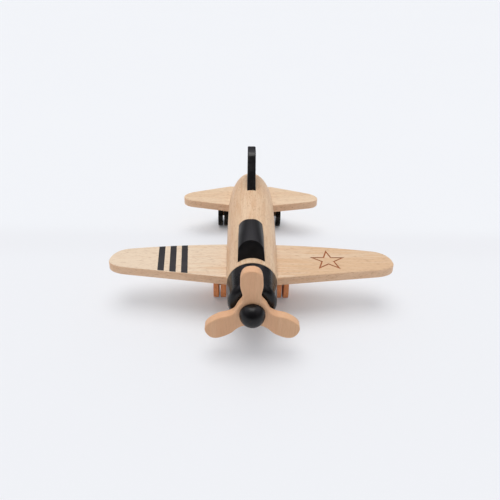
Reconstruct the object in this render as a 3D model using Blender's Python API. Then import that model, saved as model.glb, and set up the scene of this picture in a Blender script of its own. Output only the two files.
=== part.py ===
"""Wooden push-along monoplane: turned body, plank wing and tailplane, spinning propeller, rolling wheels.

Metres, +Z up, nose towards -Y, pilot's left towards +X. The origin lies on the floor, at half the
span and half the length. Stations run back from the nose joint, where the cowl meets the body, and
heights on the airframe are taken from the body's turning axis.
"""

import math
from typing import NamedTuple

import bmesh
import bpy
from mathutils import Matrix, Vector
from mathutils.geometry import interpolate_bezier

MM = 0.001

# Fits
GLUE_GAP = 0.3 * MM
RUNNING_GAP = 0.3 * MM

# Turned body
FUSELAGE_LENGTH = 213.3 * MM
FUSELAGE_NOSE_RADIUS = 22.8 * MM
FUSELAGE_MAX_RADIUS = 24.5 * MM
TAIL_CURVE_LENGTH = 89 * MM
TAIL_BLUNTNESS = 2.25

# Nose cowl, turned to sit just inside the body's edge
COWL_LENGTH = 31.9 * MM
COWL_STEP = 0.2 * MM
COWL_FRONT_RADIUS = 21.3 * MM
COWL_FACE_RADIUS = 15 * MM
COWL_EDGE_LENGTH = 7 * MM

# Propeller, cut from flat plank and come to rest a little turned
PROPELLER_RADIUS = 44.4 * MM
PROPELLER_THICKNESS = 9.2 * MM
PROPELLER_EDGE_RADIUS = 2 * MM
PROPELLER_REST_TURN = math.radians(1.2)
BLADE_COUNT = 3
BLADE_WIDTH = 19.8 * MM
BLADE_WIDEST_AT = 29.5 * MM
BLADE_NECK_WIDTH = 16 * MM
BLADE_NECK_AT = 16 * MM
BLADE_TIP_FULLNESS = 0.75
HUB_RADIUS = 14.1 * MM
HUB_FILLET = 4.6 * MM
PROPELLER_FLOOR_CLEARANCE = 2.6 * MM

# Shaft, washer and spinner
SHAFT_RADIUS = 4 * MM
SHAFT_END_WALL = 2.8 * MM
WASHER_RADIUS = 9 * MM
WASHER_THICKNESS = 0.8 * MM
SPINNER_RADIUS = 11 * MM
SPINNER_CENTRE_RISE = 0.8 * MM
SPINNER_SOCKET_DEPTH = 7 * MM

# Main wing
WING_SPAN = 270 * MM
WING_THICKNESS = 8.8 * MM
WING_EDGE_RADIUS = 1 * MM
WING_TOP_HEIGHT = 0 * MM
WING_LEAD_STATION = 9.7 * MM
WING_CHORD = 56.4 * MM
WING_LEAD_SWEEP = 14 * MM
WING_TRAIL_SWEEP = 9.6 * MM
WING_TRAIL_BOW = 1.6 * MM
WING_TIP_RUN = 17 * MM
WING_TIP_SET = 12.1 * MM

# Tailplane, its trailing edge set in from the body's tail end
TAILPLANE_SPAN = 151.6 * MM
TAILPLANE_THICKNESS = 8.8 * MM
TAILPLANE_EDGE_RADIUS = 1 * MM
TAILPLANE_TOP_HEIGHT = 0 * MM
TAILPLANE_TRAIL_INSET = 19 * MM
TAILPLANE_CHORD = 46.5 * MM
TAILPLANE_LEAD_SWEEP = 9.5 * MM
TAILPLANE_TRAIL_SWEEP = 15.5 * MM
TAILPLANE_TRAIL_BOW = 0.3 * MM
TAILPLANE_TIP_RUN = 10.4 * MM
TAILPLANE_TIP_SET = 10 * MM

# Fin, let into the top of the tail
FIN_THICKNESS = 8.8 * MM
FIN_HEIGHT = 31.5 * MM
FIN_CHORD = 51 * MM
FIN_TRAIL_INSET = 25.5 * MM
FIN_RAKE = math.radians(40.7)
FIN_FRONT_CORNER = 6 * MM
FIN_REAR_CORNER = 8 * MM
FIN_EDGE_RADIUS = 1 * MM
FIN_TENON_DEPTH = 8 * MM

# Canopy, hollowed underneath to the round body and seated a little round it, towards the pilot's right
CANOPY_ROLL = math.radians(-2.8)
CANOPY_FOOT_STATION = 6.7 * MM
CANOPY_LENGTH = 44.4 * MM
CANOPY_WIDTH = 21.4 * MM
CANOPY_SIDE_LEAN = math.radians(5)
CANOPY_HEIGHT = 15 * MM
CANOPY_ARCH_RISE = 6.8 * MM
CANOPY_REAR_ROUND = 1.2 * MM
CANOPY_BROW_ROUND = 0.8 * MM
WINDSCREEN_RAKE = math.radians(22.4)

# Wheels: two discs a side, pressed on each axle
WHEEL_RADIUS = 15 * MM
WHEEL_DISC_THICKNESS = 5 * MM
WHEEL_DISC_GAP = 2 * MM
WHEEL_EDGE_RADIUS = 1 * MM
WHEEL_TRACK = 73.2 * MM
AXLE_RADIUS = 3 * MM
AXLE_FLOAT = 3.5 * MM
FRONT_AXLE_STATION = 46.3 * MM
REAR_AXLE_INSET = 26 * MM
REAR_AXLE_DRIFT = -1.2 * MM

# Axle blocks, cradled to the belly
BLOCK_FLOOR_CLEARANCE = 8 * MM
BLOCK_CORNER_RADIUS = 4 * MM
BLOCK_END_WALL = 5 * MM
BLOCK_FOOT_INSET = 5 * MM
CRADLE_DEPTH = 7.3 * MM
AXLE_COVER = 4 * MM

# Locating pins under the canopy and in the axle blocks
PIN_RADIUS = 3 * MM
PIN_LENGTH = 10 * MM
PIN_END_CHAMFER = 0.6 * MM
PIN_AXLE_WALL = 2.2 * MM
CANOPY_PIN_INSET = 12 * MM

# How finely curves are drawn
BODY_SEGMENTS = 40
WHEEL_SEGMENTS = 32
PIN_SEGMENTS = 16
BARREL_STEPS = 7
TAIL_STEPS = 11
CURVE_POINTS = 6
CORNER_POINTS = 4
EDGE_STEPS = 2
SMOOTH_ANGLE = math.radians(35)
RIM_ANGLE = math.radians(50)
TIP_FULLNESS = 0.6
CUT_MARGIN = 5 * MM

# Places that follow from the sizes above
TAIL_CURVE_START = FUSELAGE_LENGTH - TAIL_CURVE_LENGTH
COWL_FACE_STATION = -(GLUE_GAP + COWL_LENGTH)
WASHER_FRONT_STATION = COWL_FACE_STATION - RUNNING_GAP - WASHER_THICKNESS
PROPELLER_STATION = WASHER_FRONT_STATION - RUNNING_GAP - PROPELLER_THICKNESS / 2
SPINNER_BASE_STATION = PROPELLER_STATION - PROPELLER_THICKNESS / 2 - RUNNING_GAP
NOSE_OVERHANG = SPINNER_RADIUS + SPINNER_CENTRE_RISE - SPINNER_BASE_STATION
NOSE_JOINT_Y = -(FUSELAGE_LENGTH - NOSE_OVERHANG) / 2
SHAFT_SEAT_DEPTH = WING_LEAD_STATION - SHAFT_END_WALL
REAR_AXLE_STATION = FUSELAGE_LENGTH - REAR_AXLE_INSET
AXIS_HEIGHT = max(
    PROPELLER_RADIUS + PROPELLER_FLOOR_CLEARANCE,
    WHEEL_RADIUS + AXLE_RADIUS + AXLE_COVER + FUSELAGE_MAX_RADIUS,
)
AXLE_HEIGHT = WHEEL_RADIUS - AXIS_HEIGHT
OUTER_DISC_CENTRE = WHEEL_TRACK / 2 - WHEEL_DISC_THICKNESS / 2
INNER_DISC_CENTRE = OUTER_DISC_CENTRE - WHEEL_DISC_THICKNESS - WHEEL_DISC_GAP
BLOCK_WIDTH = 2 * (INNER_DISC_CENTRE - WHEEL_DISC_THICKNESS / 2 - AXLE_FLOAT)
PIN_AXLE_OFFSET = AXLE_RADIUS + RUNNING_GAP + PIN_AXLE_WALL + GLUE_GAP + PIN_RADIUS
BLOCK_LENGTH = 2 * (PIN_AXLE_OFFSET + PIN_RADIUS + GLUE_GAP + BLOCK_END_WALL)

ALONG_X = Vector((1, 0, 0))
ALONG_Y = Vector((0, 1, 0))
ALONG_Z = Vector((0, 0, 1))


class Finish(NamedTuple):
    """Colour and sheen of a piece."""

    colour: tuple
    roughness: float


BEECH = Finish((0.70, 0.50, 0.33, 1.0), 0.55)
BLACK_PAINT = Finish((0.012, 0.011, 0.012, 1.0), 0.4)


class PlankPlan(NamedTuple):
    """Plan of a wing-like plank that runs straight through the body and tapers outside it."""

    span: float
    root_width: float
    lead: float
    chord: float
    lead_sweep: float
    trail_sweep: float
    trail_bow: float
    tip_run: float
    tip_set: float


def clear_scene():
    for old in list(bpy.data.objects):
        bpy.data.objects.remove(old, do_unlink=True)


def body_radius(station):
    """Radius of the turned body: a shallow barrel, then a blunt superellipse to the tail end."""
    if station <= TAIL_CURVE_START:
        run = (TAIL_CURVE_START - station) / TAIL_CURVE_START
        return FUSELAGE_MAX_RADIUS - (FUSELAGE_MAX_RADIUS - FUSELAGE_NOSE_RADIUS) * run**2
    run = min((station - TAIL_CURVE_START) / TAIL_CURVE_LENGTH, 1)
    return FUSELAGE_MAX_RADIUS * (1 - run**TAIL_BLUNTNESS) ** (1 / TAIL_BLUNTNESS)


def body_profile(grow=0):
    """(radius, station) points from the nose face to the tail end, grown outwards by a clearance."""
    barrel = [TAIL_CURVE_START * step / BARREL_STEPS for step in range(BARREL_STEPS)]
    points = [(0, -grow), (body_radius(0) + grow, -grow)]
    points += [(body_radius(station) + grow, station) for station in barrel[1:]]
    for step in range(TAIL_STEPS):
        turn = math.pi / 2 * step / TAIL_STEPS
        run = math.sin(turn) ** (2 / TAIL_BLUNTNESS)
        station = TAIL_CURVE_START + TAIL_CURVE_LENGTH * run
        points.append((body_radius(station) + grow, station))
    return points + [(0, FUSELAGE_LENGTH + grow)]


def curve(start, start_handle, end_handle, end, points=CURVE_POINTS):
    """Points of one Bezier stretch, its end left out so that stretches can follow one another."""
    knots = [Vector(corner).to_3d() for corner in (start, start_handle, end_handle, end)]
    return [point.to_2d() for point in interpolate_bezier(*knots, points)[:-1]]


def rounded_outline(corners):
    """Closed outline through (x, y, radius) corners, each rounded by an arc of its radius."""
    outline = []
    for index, (x, y, radius) in enumerate(corners):
        corner = Vector((x, y))
        if not radius:
            outline.append(corner)
            continue
        before = (Vector(corners[index - 1][:2]) - corner).normalized()
        after = (Vector(corners[(index + 1) % len(corners)][:2]) - corner).normalized()
        angle = before.angle(after)
        reach = radius / math.tan(angle / 2)
        bulge = radius * 4 / 3 * math.tan((math.pi - angle) / 4)
        start = corner + before * reach
        end = corner + after * reach
        outline += curve(start, start - before * bulge, end - after * bulge, end, CORNER_POINTS)
        outline.append(end)
    return outline


def plank_outline(plan):
    """Outline in plan: straight through the body, swept edges outside it and rounded tips."""
    root = plan.root_width / 2
    tip_x = plan.span / 2 - plan.tip_run
    lead_root = Vector((root, plan.lead))
    lead_tip = Vector((tip_x, plan.lead + plan.lead_sweep))
    trail_root = Vector((root, plan.lead + plan.chord))
    trail_tip = Vector((tip_x, plan.lead + plan.chord - plan.trail_sweep))
    peak = Vector((plan.span / 2, lead_tip.y + plan.tip_set))
    bow = (trail_root + trail_tip) / 2 + Vector((0, 2 * plan.trail_bow))
    lead_out = (lead_tip - lead_root) * plan.tip_run / (tip_x - root)
    trail_out = (trail_tip - bow) * plan.tip_run / (tip_x - bow.x)
    lead_corner = lead_tip + lead_out
    trail_corner = trail_tip + trail_out
    half = [lead_root]
    half += curve(
        lead_tip,
        lead_tip.lerp(lead_corner, TIP_FULLNESS),
        peak.lerp(lead_corner, TIP_FULLNESS),
        peak,
    )
    half += curve(
        peak,
        peak.lerp(trail_corner, TIP_FULLNESS),
        trail_tip.lerp(trail_corner, TIP_FULLNESS),
        trail_tip,
    )
    half += curve(trail_tip, trail_tip.lerp(bow, 2 / 3), trail_root.lerp(bow, 2 / 3), trail_root)
    half.append(trail_root)
    return half + [Vector((-point.x, point.y)) for point in reversed(half)]


def blade_side():
    """One side of an upright blade, from the valley beside the hub up to just below the tip."""
    valley_turn = math.pi / BLADE_COUNT
    valley = HUB_RADIUS * Vector((math.sin(valley_turn), math.cos(valley_turn)))
    leave = HUB_FILLET * Vector((-math.cos(valley_turn), math.sin(valley_turn)))
    neck = Vector((BLADE_NECK_WIDTH / 2, BLADE_NECK_AT))
    widest = Vector((BLADE_WIDTH / 2, BLADE_WIDEST_AT))
    tip = Vector((0, PROPELLER_RADIUS))
    swell = Vector((0, (BLADE_WIDEST_AT - BLADE_NECK_AT) / 2))
    shoulder = Vector((widest.x, tip.y))
    side = curve(valley, valley + leave, neck - Vector((0, HUB_FILLET)), neck)
    side += curve(neck, neck + swell, widest - swell, widest)
    side += curve(
        widest,
        widest.lerp(shoulder, BLADE_TIP_FULLNESS),
        tip.lerp(shoulder, BLADE_TIP_FULLNESS),
        tip,
    )
    return side


def propeller_outline():
    side = blade_side()
    tip = Vector((0, PROPELLER_RADIUS))
    blade = side + [tip] + [Vector((-point.x, point.y)) for point in reversed(side[1:])]
    outline = []
    for count in range(BLADE_COUNT):
        turn = Matrix.Rotation(PROPELLER_REST_TURN + 2 * math.pi * count / BLADE_COUNT, 2)
        outline += [turn @ point for point in blade]
    return outline


def axis_empty(name, place):
    empty = bpy.data.objects.new(name, None)
    empty.location = place
    empty.empty_display_size = WHEEL_RADIUS
    bpy.context.scene.collection.objects.link(empty)
    return empty


def add_piece(name, shape, parent, place=(0, 0, 0)):
    """Object of a finished shape, hung on an axis at a place on it."""
    bmesh.ops.recalc_face_normals(shape, faces=shape.faces)
    mesh = bpy.data.meshes.new(name)
    shape.to_mesh(mesh)
    shape.free()
    mesh.shade_smooth()
    mesh.set_sharp_from_angle(angle=SMOOTH_ANGLE)
    piece = bpy.data.objects.new(name, mesh)
    piece.parent = parent
    piece.location = place
    bpy.context.scene.collection.objects.link(piece)
    return piece


def dress(piece, finish):
    material = bpy.data.materials.new(f"{piece.name}_finish")
    material.use_nodes = True
    shader = material.node_tree.nodes["Principled BSDF"]
    shader.inputs["Base Color"].default_value = finish.colour
    shader.inputs["Roughness"].default_value = finish.roughness
    shader.inputs["Metallic"].default_value = 0
    piece.data.materials.append(material)
    return piece


def turned(profile, axis, segments, ring=False):
    """Solid spun from (radius, along) points, or a ring when the profile is a closed loop.

    Upright solids start half a segment round, so that their corners miss the body's seam lines.
    """
    shape = bmesh.new()
    outwards = ALONG_Z
    if axis == ALONG_Z:
        outwards = Matrix.Rotation(math.pi / segments, 3, axis) @ ALONG_X
    corners = [shape.verts.new(outwards * radius + axis * along) for radius, along in profile]
    edges = [shape.edges.new(pair) for pair in zip(corners, corners[1:])]
    if ring:
        edges.append(shape.edges.new((corners[-1], corners[0])))
    bmesh.ops.spin(
        shape,
        geom=corners + edges,
        cent=(0, 0, 0),
        axis=axis,
        angle=2 * math.pi,
        steps=segments,
    )
    bmesh.ops.remove_doubles(shape, verts=shape.verts, dist=MM / 1000)
    return shape


def slab(outline, thickness, across):
    """Outline pushed through its thickness, centred on its plane.

    Across Z the outline's points are (x, y), across X they are (y, z) and across Y (x, z).
    """
    planes = {
        "X": (ALONG_Y, ALONG_Z, ALONG_X),
        "Y": (ALONG_X, ALONG_Z, ALONG_Y),
        "Z": (ALONG_X, ALONG_Y, ALONG_Z),
    }
    first, second, through = planes[across]
    shape = bmesh.new()
    back = through * -thickness / 2
    rim = [shape.verts.new(first * point[0] + second * point[1] + back) for point in outline]
    face = shape.faces.new(rim)
    pushed = bmesh.ops.extrude_face_region(shape, geom=[face])
    moved = [item for item in pushed["geom"] if isinstance(item, bmesh.types.BMVert)]
    bmesh.ops.translate(shape, verts=moved, vec=through * thickness)
    return shape


def rod_profile(radius, start, end, chamfer=0):
    if not chamfer:
        return [(0, start), (radius, start), (radius, end), (0, end)]
    return [
        (0, start),
        (radius - chamfer, start),
        (radius, start + chamfer),
        (radius, end - chamfer),
        (radius - chamfer, end),
        (0, end),
    ]


def round_edges(piece, radius):
    rounding = piece.modifiers.new("rounded_edges", "BEVEL")
    rounding.width = radius
    rounding.segments = EDGE_STEPS
    rounding.limit_method = "ANGLE"
    rounding.angle_limit = RIM_ANGLE


def add_cutter(name, shape, parent, place=(0, 0, 0)):
    cutter = add_piece(name, shape, parent, place)
    cutter.hide_render = True
    cutter.display_type = "WIRE"
    return cutter


def shape_by(piece, tool, operation="DIFFERENCE"):
    carving = piece.modifiers.new(tool.name, "BOOLEAN")
    carving.operation = operation
    carving.solver = "EXACT"
    carving.object = tool


def add_pin(name, seat, station, height, mates):
    """Locating pin, half in each of the pieces that it joins, with its holes."""
    place = (0, station, height)
    half = PIN_LENGTH / 2
    rod = turned(rod_profile(PIN_RADIUS, -half, half, PIN_END_CHAMFER), ALONG_Z, PIN_SEGMENTS)
    dress(add_piece(name, rod, seat, place), BEECH)
    end = half + GLUE_GAP
    hole = turned(rod_profile(PIN_RADIUS + GLUE_GAP, -end, end), ALONG_Z, PIN_SEGMENTS)
    cutter = add_cutter(f"{name}_hole", hole, seat, place)
    for mate in mates:
        shape_by(mate, cutter)


def add_fuselage(airframe):
    """Turned body with the blind bore that seats the propeller shaft."""
    bore = SHAFT_RADIUS + GLUE_GAP
    end = SHAFT_SEAT_DEPTH + GLUE_GAP
    profile = [(0, end), (bore, end), (bore, 0)] + body_profile()[1:]
    return dress(add_piece("fuselage", turned(profile, ALONG_Y, BODY_SEGMENTS), airframe), BEECH)


def add_cowl(airframe):
    """Ring bored for the shaft: a straight taper forward, then an edge rounded over to a flat face."""
    bore = SHAFT_RADIUS + GLUE_GAP
    back = Vector((FUSELAGE_NOSE_RADIUS - COWL_STEP, -GLUE_GAP))
    shoulder = Vector((COWL_FRONT_RADIUS, COWL_FACE_STATION + COWL_EDGE_LENGTH))
    face = Vector((COWL_FACE_RADIUS, COWL_FACE_STATION))
    meeting = Vector((COWL_FRONT_RADIUS, COWL_FACE_STATION))
    edge = curve(
        shoulder,
        shoulder.lerp(meeting, TIP_FULLNESS),
        face.lerp(meeting, TIP_FULLNESS),
        face,
    )
    profile = [(bore, -GLUE_GAP), back] + edge + [face, (bore, COWL_FACE_STATION)]
    cowl = turned(profile, ALONG_Y, BODY_SEGMENTS, ring=True)
    return dress(add_piece("nose_cowl", cowl, airframe), BLACK_PAINT)


def add_plank(name, airframe, fuselage, plan, thickness, edge_radius, top_height):
    """Plank with rounded edges, and its mortise through the body."""
    place = (0, 0, top_height - thickness / 2)
    plank = add_piece(name, slab(plank_outline(plan), thickness, "Z"), airframe, place)
    round_edges(plank, edge_radius)
    front = plan.lead - GLUE_GAP
    back = plan.lead + plan.chord + GLUE_GAP
    side = thickness / 2 + GLUE_GAP
    corner = edge_radius + GLUE_GAP
    section = rounded_outline(
        [(front, -side, corner), (back, -side, corner), (back, side, corner), (front, side, corner)]
    )
    width = 2 * (FUSELAGE_MAX_RADIUS + CUT_MARGIN)
    mortise = add_cutter(f"{name}_mortise", slab(section, width, "X"), airframe, place)
    shape_by(fuselage, mortise)
    return dress(plank, BEECH)


def add_wing(airframe, fuselage):
    plan = PlankPlan(
        span=WING_SPAN,
        root_width=2 * FUSELAGE_MAX_RADIUS,
        lead=WING_LEAD_STATION,
        chord=WING_CHORD,
        lead_sweep=WING_LEAD_SWEEP,
        trail_sweep=WING_TRAIL_SWEEP,
        trail_bow=WING_TRAIL_BOW,
        tip_run=WING_TIP_RUN,
        tip_set=WING_TIP_SET,
    )
    return add_plank(
        "main_wing", airframe, fuselage, plan, WING_THICKNESS, WING_EDGE_RADIUS, WING_TOP_HEIGHT
    )


def add_tailplane(airframe, fuselage):
    lead = FUSELAGE_LENGTH - TAILPLANE_TRAIL_INSET - TAILPLANE_CHORD
    plan = PlankPlan(
        span=TAILPLANE_SPAN,
        root_width=2 * body_radius(lead),
        lead=lead,
        chord=TAILPLANE_CHORD,
        lead_sweep=TAILPLANE_LEAD_SWEEP,
        trail_sweep=TAILPLANE_TRAIL_SWEEP,
        trail_bow=TAILPLANE_TRAIL_BOW,
        tip_run=TAILPLANE_TIP_RUN,
        tip_set=TAILPLANE_TIP_SET,
    )
    return add_plank(
        "tailplane",
        airframe,
        fuselage,
        plan,
        TAILPLANE_THICKNESS,
        TAILPLANE_EDGE_RADIUS,
        TAILPLANE_TOP_HEIGHT,
    )


def add_fin(airframe, fuselage):
    """Raked plate with rounded top corners, standing in a slot in the tail's top."""
    trail = FUSELAGE_LENGTH - FIN_TRAIL_INSET
    lead = trail - FIN_CHORD
    foot = body_radius(lead)
    top = foot + FIN_HEIGHT
    floor = body_radius(trail) - FIN_TENON_DEPTH
    outline = rounded_outline(
        [
            (lead, floor, 0),
            (lead, foot, 0),
            (lead + FIN_HEIGHT * math.tan(FIN_RAKE), top, FIN_FRONT_CORNER),
            (trail, top, FIN_REAR_CORNER),
            (trail, floor, 0),
        ]
    )
    fin = add_piece("tail_fin", slab(outline, FIN_THICKNESS, "X"), airframe)
    round_edges(fin, FIN_EDGE_RADIUS)
    opening = [
        (lead - GLUE_GAP, floor - GLUE_GAP),
        (trail + GLUE_GAP, floor - GLUE_GAP),
        (trail + GLUE_GAP, top),
        (lead - GLUE_GAP, top),
    ]
    slot = slab(opening, FIN_THICKNESS + 2 * GLUE_GAP, "X")
    shape_by(fuselage, add_cutter("fin_slot", slot, airframe))
    return dress(fin, BLACK_PAINT)


def add_canopy(airframe, fuselage, hollow):
    """Block where a side view and an arched front view meet, hollowed to sit on the body.

    Before the hollow is cut, the block reaches half way down to the body's axis.
    """
    seat = axis_empty("canopy_seat", (0, 0, 0))
    seat.parent = airframe
    seat.rotation_euler.y = CANOPY_ROLL
    back = CANOPY_FOOT_STATION + CANOPY_LENGTH
    foot = body_radius(CANOPY_FOOT_STATION)
    top = foot + CANOPY_HEIGHT
    base = foot / 2
    slope = math.tan(WINDSCREEN_RAKE)
    side_view = rounded_outline(
        [
            (CANOPY_FOOT_STATION - (foot - base) * slope, base, 0),
            (CANOPY_FOOT_STATION + CANOPY_HEIGHT * slope, top, CANOPY_BROW_ROUND),
            (back, top, CANOPY_REAR_ROUND),
            (back, base, 0),
        ]
    )
    half = CANOPY_WIDTH / 2
    arch_radius = (half**2 + CANOPY_ARCH_RISE**2) / (2 * CANOPY_ARCH_RISE)
    spring = math.asin(half / arch_radius)
    skirt = half + (top - CANOPY_ARCH_RISE + CUT_MARGIN) * math.tan(CANOPY_SIDE_LEAN)
    front_view = [(-skirt, -CUT_MARGIN), (skirt, -CUT_MARGIN)]
    for step in range(2 * CURVE_POINTS + 1):
        turn = spring * (1 - step / CURVE_POINTS)
        height = top - arch_radius * (1 - math.cos(turn))
        front_view.append((arch_radius * math.sin(turn), height))
    canopy = add_piece("canopy", slab(side_view, 2 * (skirt + CUT_MARGIN), "X"), seat)
    length = 2 * (back + CUT_MARGIN)
    arch = add_cutter("canopy_arch", slab(front_view, length, "Y"), seat)
    shape_by(canopy, arch, "INTERSECT")
    shape_by(canopy, hollow)
    for name, station in (
        ("canopy_pin_front", CANOPY_FOOT_STATION + CANOPY_PIN_INSET),
        ("canopy_pin_rear", back - CANOPY_PIN_INSET),
    ):
        add_pin(name, seat, station, body_radius(station), (canopy, fuselage))
    return dress(canopy, BLACK_PAINT)


def add_axle_block(end, airframe, fuselage, hollow, station):
    """Block bored for an axle, cradling the belly and pinned to it before and behind the axle."""
    front = station - BLOCK_LENGTH / 2
    back = station + BLOCK_LENGTH / 2
    floor = BLOCK_FLOOR_CLEARANCE - AXIS_HEIGHT
    top = CRADLE_DEPTH - body_radius(station)
    side_view = rounded_outline(
        [
            (front + BLOCK_FOOT_INSET, floor, BLOCK_CORNER_RADIUS),
            (back - BLOCK_FOOT_INSET, floor, BLOCK_CORNER_RADIUS),
            (back, top, 0),
            (front, top, 0),
        ]
    )
    block = add_piece(f"{end}_axle_block", slab(side_view, BLOCK_WIDTH, "X"), airframe)
    shape_by(block, hollow)
    reach = BLOCK_WIDTH / 2 + CUT_MARGIN
    bore = turned(rod_profile(AXLE_RADIUS + RUNNING_GAP, -reach, reach), ALONG_X, PIN_SEGMENTS)
    shape_by(block, add_cutter(f"{end}_axle_bore", bore, airframe, (0, station, AXLE_HEIGHT)))
    for side, offset in (("fore", -PIN_AXLE_OFFSET), ("aft", PIN_AXLE_OFFSET)):
        place = station + offset
        name = f"{end}_block_pin_{side}"
        add_pin(name, airframe, place, -body_radius(place), (block, fuselage))
    return dress(block, BEECH)


def add_propeller(axis):
    propeller = add_piece("propeller", slab(propeller_outline(), PROPELLER_THICKNESS, "Y"), axis)
    round_edges(propeller, PROPELLER_EDGE_RADIUS)
    reach = PROPELLER_THICKNESS / 2 + CUT_MARGIN
    bore = turned(rod_profile(SHAFT_RADIUS + RUNNING_GAP, -reach, reach), ALONG_Y, PIN_SEGMENTS)
    shape_by(propeller, add_cutter("propeller_bore", bore, axis))
    return dress(propeller, BEECH)


def add_shaft_pieces(airframe):
    """Shaft glued through the cowl into the body, with the washer and the spinner that closes it."""
    front = SPINNER_BASE_STATION - SPINNER_SOCKET_DEPTH + GLUE_GAP
    shaft = rod_profile(SHAFT_RADIUS, front, SHAFT_SEAT_DEPTH, PIN_END_CHAMFER)
    dress(add_piece("propeller_shaft", turned(shaft, ALONG_Y, PIN_SEGMENTS), airframe), BEECH)
    hole = SHAFT_RADIUS + GLUE_GAP
    back = WASHER_FRONT_STATION + WASHER_THICKNESS
    section = [
        (hole, back),
        (WASHER_RADIUS, back),
        (WASHER_RADIUS, WASHER_FRONT_STATION),
        (hole, WASHER_FRONT_STATION),
    ]
    washer = turned(section, ALONG_Y, BODY_SEGMENTS, ring=True)
    dress(add_piece("propeller_washer", washer, airframe), BEECH)
    socket = SPINNER_BASE_STATION - SPINNER_SOCKET_DEPTH
    profile = [(0, socket), (hole, socket), (hole, SPINNER_BASE_STATION)]
    centre = SPINNER_BASE_STATION - SPINNER_CENTRE_RISE
    start = -math.asin(SPINNER_CENTRE_RISE / SPINNER_RADIUS)
    steps = 2 * CURVE_POINTS
    for step in range(steps):
        turn = start + (math.pi / 2 - start) * step / steps
        profile.append((SPINNER_RADIUS * math.cos(turn), centre - SPINNER_RADIUS * math.sin(turn)))
    profile.append((0, centre - SPINNER_RADIUS))
    spinner = turned(profile, ALONG_Y, BODY_SEGMENTS)
    return dress(add_piece("spinner", spinner, airframe), BLACK_PAINT)


def disc_profile():
    """Closed section of a wheel disc round its bore, both rims rounded."""
    bore = AXLE_RADIUS + GLUE_GAP
    half = WHEEL_DISC_THICKNESS / 2
    section = [
        (bore, -half, 0),
        (WHEEL_RADIUS, -half, WHEEL_EDGE_RADIUS),
        (WHEEL_RADIUS, half, WHEEL_EDGE_RADIUS),
        (bore, half, 0),
    ]
    return rounded_outline(section)


def add_wheelset(end, axis, finish):
    """Axle with its four pressed discs, turning together."""
    half = WHEEL_TRACK / 2
    axle = turned(rod_profile(AXLE_RADIUS, -half, half, PIN_END_CHAMFER), ALONG_X, PIN_SEGMENTS)
    dress(add_piece(f"{end}_axle", axle, axis), BEECH)
    for side, sign in (("left", 1), ("right", -1)):
        for row, centre in (("inner", INNER_DISC_CENTRE), ("outer", OUTER_DISC_CENTRE)):
            disc = turned(disc_profile(), ALONG_X, WHEEL_SEGMENTS, ring=True)
            name = f"{end}_wheel_{side}_{row}"
            dress(add_piece(name, disc, axis, (sign * centre, 0, 0)), finish)


def main():
    clear_scene()
    airframe = axis_empty("nose_joint", (0, NOSE_JOINT_Y, AXIS_HEIGHT))
    propeller_axis = axis_empty("propeller_axis", (0, NOSE_JOINT_Y + PROPELLER_STATION, AXIS_HEIGHT))
    front_line = axis_empty("front_axle_line", (0, NOSE_JOINT_Y + FRONT_AXLE_STATION, WHEEL_RADIUS))
    rear_place = (REAR_AXLE_DRIFT, NOSE_JOINT_Y + REAR_AXLE_STATION, WHEEL_RADIUS)
    rear_line = axis_empty("rear_axle_line", rear_place)

    fuselage = add_fuselage(airframe)
    grown_body = turned(body_profile(GLUE_GAP), ALONG_Y, BODY_SEGMENTS)
    hollow = add_cutter("body_hollow", grown_body, airframe)
    add_cowl(airframe)
    add_wing(airframe, fuselage)
    add_tailplane(airframe, fuselage)
    add_fin(airframe, fuselage)
    add_canopy(airframe, fuselage, hollow)
    add_axle_block("front", airframe, fuselage, hollow, FRONT_AXLE_STATION)
    add_axle_block("rear", airframe, fuselage, hollow, REAR_AXLE_STATION)
    add_shaft_pieces(airframe)
    add_propeller(propeller_axis)
    add_wheelset("front", front_line, BEECH)
    add_wheelset("rear", rear_line, BLACK_PAINT)


main()
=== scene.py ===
"""Looks of a wooden push-along monoplane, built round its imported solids.

Every part that shows gets a finer piece in its place, and the dowels inside keep their solids under
a better finish. Metres, +Z up, nose towards -Y, pilot's left towards +X. Stations run back from the
joint of cowl and body, and heights are taken from the body's turning axis.
"""

import logging
import math
from dataclasses import dataclass
from enum import Enum
from typing import ClassVar, Sequence

import bpy
from mathutils import Matrix, Vector
from mathutils.geometry import interpolate_bezier


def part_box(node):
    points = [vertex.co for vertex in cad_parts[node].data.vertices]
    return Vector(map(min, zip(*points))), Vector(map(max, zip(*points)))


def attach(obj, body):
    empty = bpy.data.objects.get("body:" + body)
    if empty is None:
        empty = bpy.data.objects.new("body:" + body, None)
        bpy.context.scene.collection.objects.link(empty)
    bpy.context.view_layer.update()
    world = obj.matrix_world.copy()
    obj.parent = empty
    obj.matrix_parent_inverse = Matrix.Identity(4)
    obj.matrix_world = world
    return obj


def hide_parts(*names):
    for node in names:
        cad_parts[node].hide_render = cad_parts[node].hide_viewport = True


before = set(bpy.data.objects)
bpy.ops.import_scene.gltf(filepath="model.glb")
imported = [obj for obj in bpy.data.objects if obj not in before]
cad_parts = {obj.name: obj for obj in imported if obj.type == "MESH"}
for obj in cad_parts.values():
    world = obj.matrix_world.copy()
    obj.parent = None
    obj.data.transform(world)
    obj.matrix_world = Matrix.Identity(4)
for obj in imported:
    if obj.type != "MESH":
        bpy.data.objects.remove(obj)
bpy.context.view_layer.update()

LOG = logging.getLogger("toy_monoplane")

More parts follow.
